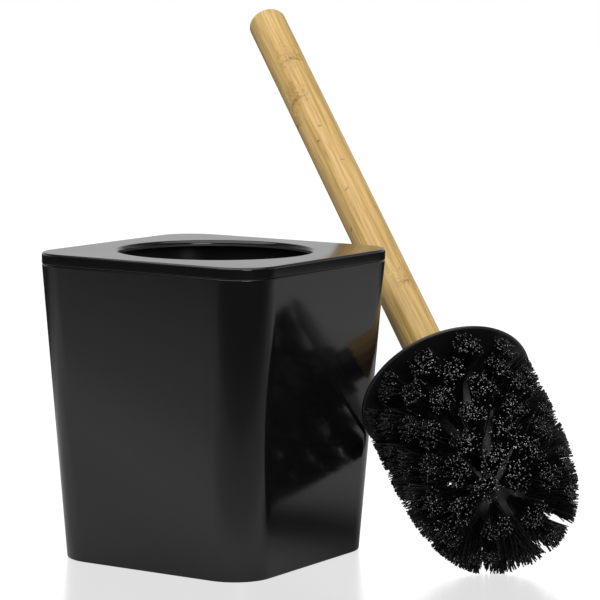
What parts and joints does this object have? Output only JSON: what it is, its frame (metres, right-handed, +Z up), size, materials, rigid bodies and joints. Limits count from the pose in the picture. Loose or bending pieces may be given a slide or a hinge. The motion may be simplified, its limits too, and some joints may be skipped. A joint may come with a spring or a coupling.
{
  "type": "toilet brush holder",
  "caption": "Square tapered tub with a lift-off lid with a round hole, and a round brush with a domed bristle head, splash disc and screw-on bamboo handle standing beside it.",
  "frame": {"origin": "centre of the tub's underside, which stands on the floor", "axes": "+Z up through the lid's hole, -Y towards the tub's front wall, +X towards the wall that the brush stands beside"},
  "size_m": [0.2647, 0.2514, 0.2398],
  "materials": {
    "holder_plastic": "satin gloss",
    "head_plastic": "satin",
    "bristle": "satin",
    "bamboo": "satin",
    "stud_metal": "satin"
  },
  "bodies": {
    "holder": {"holder_tub": "holder_plastic"},
    "lid": {"holder_lid": "holder_plastic"},
    "brush_head": {"splash_disc": "head_plastic", "brush_core": "head_plastic", "bristle_row_1": "bristle", "bristle_row_2": "bristle", "bristle_row_3": "bristle", "bristle_row_4": "bristle", "bristle_row_5": "bristle", "bristle_row_6": "bristle", "shoulder_tuft_1": "bristle", "shoulder_tuft_2": "bristle", "shoulder_tuft_3": "bristle", "shoulder_tuft_4": "bristle", "shoulder_tuft_5": "bristle", "shoulder_tuft_6": "bristle", "shoulder_tuft_7": "bristle", "shoulder_tuft_8": "bristle", "shoulder_tuft_9": "bristle", "shoulder_tuft_10": "bristle", "shoulder_tuft_11": "bristle", "shoulder_tuft_12": "bristle", "dome_tuft_1": "bristle", "dome_tuft_2": "bristle", "dome_tuft_3": "bristle", "dome_tuft_4": "bristle", "dome_tuft_5": "bristle"},
    "stud": {"handle_stud": "stud_metal"},
    "handle": {"bamboo_handle": "bamboo"}
  },
  "joints": [
    {"name": "lid_lift", "type": "slide", "parent": "holder", "child": "lid", "axis": [0, 0, 1], "range_m": [0, 0.08]},
    {"name": "brush_lift", "type": "slide", "parent": "holder", "child": "brush_head", "axis": [0.5, 0.5, 0.7071], "range_m": [0, 0.25]},
    {"name": "handle_rise", "type": "slide", "parent": "brush_head", "child": "stud", "axis": [-0.6643, 0.4617, 0.5878], "range_m": [0, 0.015]},
    {"name": "handle_turn", "type": "hinge", "parent": "stud", "child": "handle", "pos_m": [0.08636, 0.0577, 0.07258], "axis": [-0.6643, 0.4617, 0.5878], "range_deg": [0, 1800]}
  ],
  "couplings": [
    {"joint": "handle_turn", "follows": "handle_rise", "rad_per_m": 2094.4}
  ]
}
